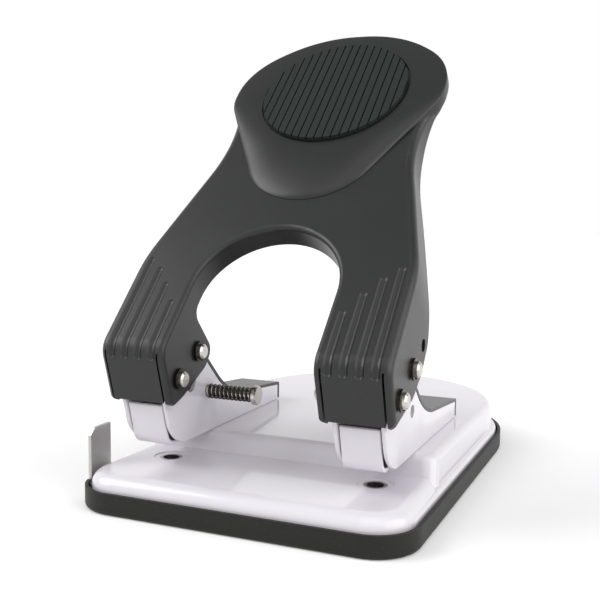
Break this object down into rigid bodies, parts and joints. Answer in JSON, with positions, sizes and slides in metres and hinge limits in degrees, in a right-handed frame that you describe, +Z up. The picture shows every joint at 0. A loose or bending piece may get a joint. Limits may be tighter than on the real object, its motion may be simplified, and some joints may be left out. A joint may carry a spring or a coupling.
{
  "type": "heavy two-hole lever punch",
  "caption": "Manual desk hole punch with a wide forked lever, round ribbed palm rest, white pressed base, dark chip tray, sliding paper gauge and a spring lock plunger.",
  "frame": {"origin": "on the table, midway between the two punch axes", "axes": "+X to the user's right, +Y away from the user, +Z up"},
  "size_m": [0.1234, 0.1992, 0.1783],
  "materials": {
    "gloss_white": "glossy off-white enamel",
    "charcoal_enamel": "satin charcoal enamel",
    "charcoal_plastic": "satin charcoal moulding",
    "pad_rubber": "ribbed dark grey-green rubber",
    "tray_rubber": "soft dark grey moulding",
    "grey_sheet": "satin mid-grey enamel",
    "hard_steel": "ground hardened steel",
    "nickel": "bright nickel plate",
    "black_spring_steel": "oiled black spring steel",
    "brushed_gauge": "brushed along its length"
  },
  "bodies": {
    "base": {"base_plate": "gloss_white", "die_left": "hard_steel", "die_right": "hard_steel", "bracket_left": "gloss_white", "bracket_right": "gloss_white", "bracket_cover_left": "grey_sheet", "bracket_cover_right": "grey_sheet", "punch_guide_left": "hard_steel", "punch_guide_right": "hard_steel", "pivot_pin_left": "nickel", "pivot_pin_right": "nickel", "pivot_clips": "black_spring_steel", "bracket_screws": "nickel", "bracket_nuts": "nickel", "gauge_guide": "nickel"},
    "lever_arm": {"lever": "charcoal_enamel", "palm_cap": "charcoal_plastic", "palm_pad": "pad_rubber", "drive_pin_left": "nickel", "drive_pin_right": "nickel", "drive_clips": "black_spring_steel"},
    "punch_body_left": {"punch_left": "hard_steel", "punch_spring_left": "black_spring_steel"},
    "punch_body_right": {"punch_right": "hard_steel", "punch_spring_right": "black_spring_steel"},
    "lock_body": {"lock_plunger": "nickel", "lock_clip": "black_spring_steel", "lock_spring": "black_spring_steel"},
    "gauge_body": {"paper_gauge": "brushed_gauge"},
    "tray_body": {"chip_tray": "tray_rubber"}
  },
  "joints": [
    {"name": "lever_hinge", "type": "hinge", "parent": "base", "child": "lever_arm", "pos_m": [0, -0.0155, 0.0461], "axis": [-1, 0, 0], "range_deg": [0, 48], "stiffness_Nm_per_rad": 1.2, "springref_deg": -25.78},
    {"name": "punch_slide_left", "type": "slide", "parent": "base", "child": "punch_body_left", "axis": [0, 0, -1], "range_m": [0, 0.0127], "deforming": ["punch_spring_left"]},
    {"name": "punch_slide_right", "type": "slide", "parent": "base", "child": "punch_body_right", "axis": [0, 0, -1], "range_m": [0, 0.0127], "deforming": ["punch_spring_right"]},
    {"name": "lock_push", "type": "slide", "parent": "base", "child": "lock_body", "axis": [-1, 0, 0], "range_m": [0, 0.005], "stiffness_N_per_m": 300, "springref_m": -0.006, "deforming": ["lock_spring"]},
    {"name": "gauge_pull", "type": "slide", "parent": "base", "child": "gauge_body", "axis": [-1, 0, 0], "range_m": [0, 0.087]},
    {"name": "tray_pull", "type": "slide", "parent": "base", "child": "tray_body", "axis": [0, 0, -1], "range_m": [0, 0.02]}
  ],
  "couplings": [
    {"joint": "punch_slide_left", "follows": "lever_hinge", "m_per_rad": 0.014969},
    {"joint": "punch_slide_right", "follows": "lever_hinge", "m_per_rad": 0.014969}
  ]
}
